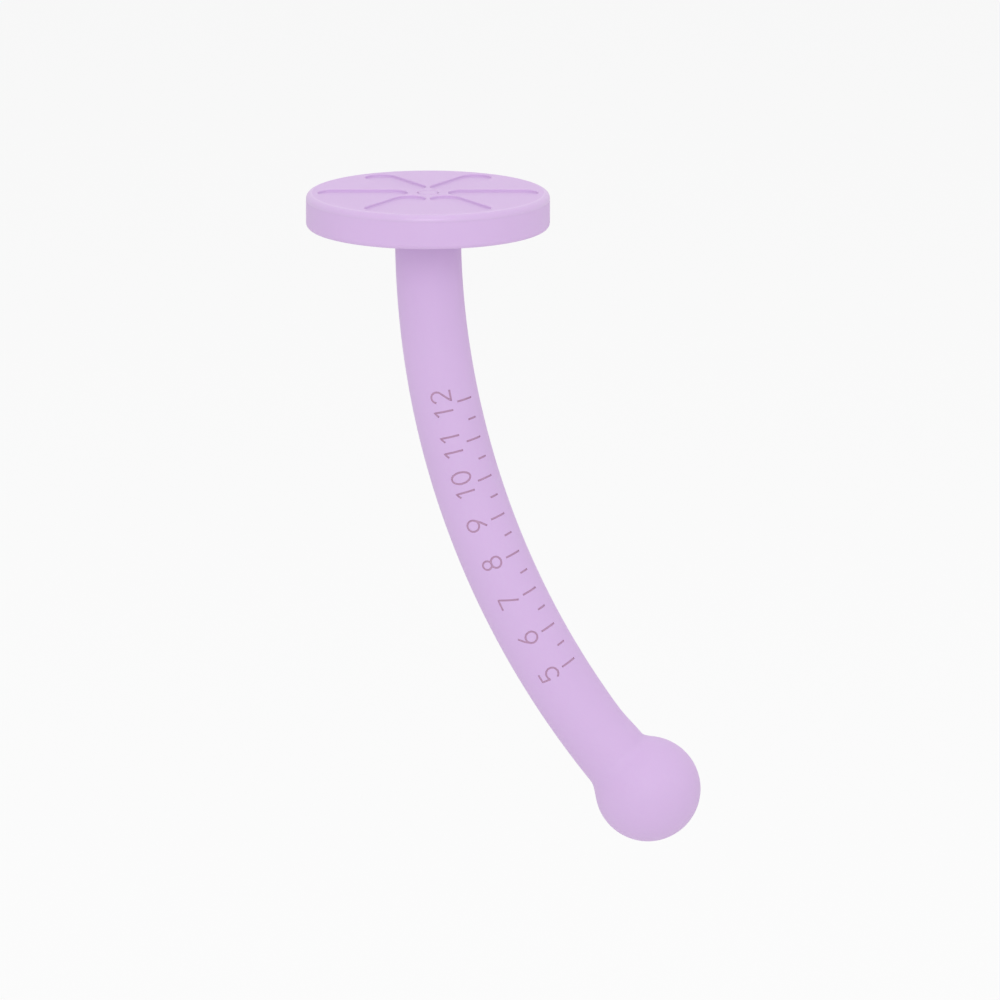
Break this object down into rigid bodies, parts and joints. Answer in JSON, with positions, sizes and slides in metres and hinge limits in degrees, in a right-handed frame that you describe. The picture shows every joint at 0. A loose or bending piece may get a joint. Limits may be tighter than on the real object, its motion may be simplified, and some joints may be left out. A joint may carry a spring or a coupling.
{
  "type": "pelvic therapy wand",
  "caption": "Curved physical-therapy wand: a round grip disc with radial finger recesses, a slim bent shaft and a ball tip, all in soft silicone over a rigid core.",
  "frame": {"origin": "middle of the disc's grip face, on the top of the centre plug", "axes": "+Z out of the grip face, +X towards the side that the shaft curves to, so the curve lies in the XZ plane"},
  "size_m": [0.0933, 0.0576, 0.1564],
  "materials": {
    "silicone": "matte satin, lavender",
    "core_nylon": "moulded, natural",
    "steel": "plain stainless"
  },
  "bodies": {
    "root": {"silicone_jacket": "silicone", "face_pad": "silicone", "centre_plug": "silicone", "handle_plate": "core_nylon", "tip_core": "core_nylon", "stem_rod": "steel", "plate_screw": "steel", "spring_washer": "steel"}
  },
  "joints": []
}
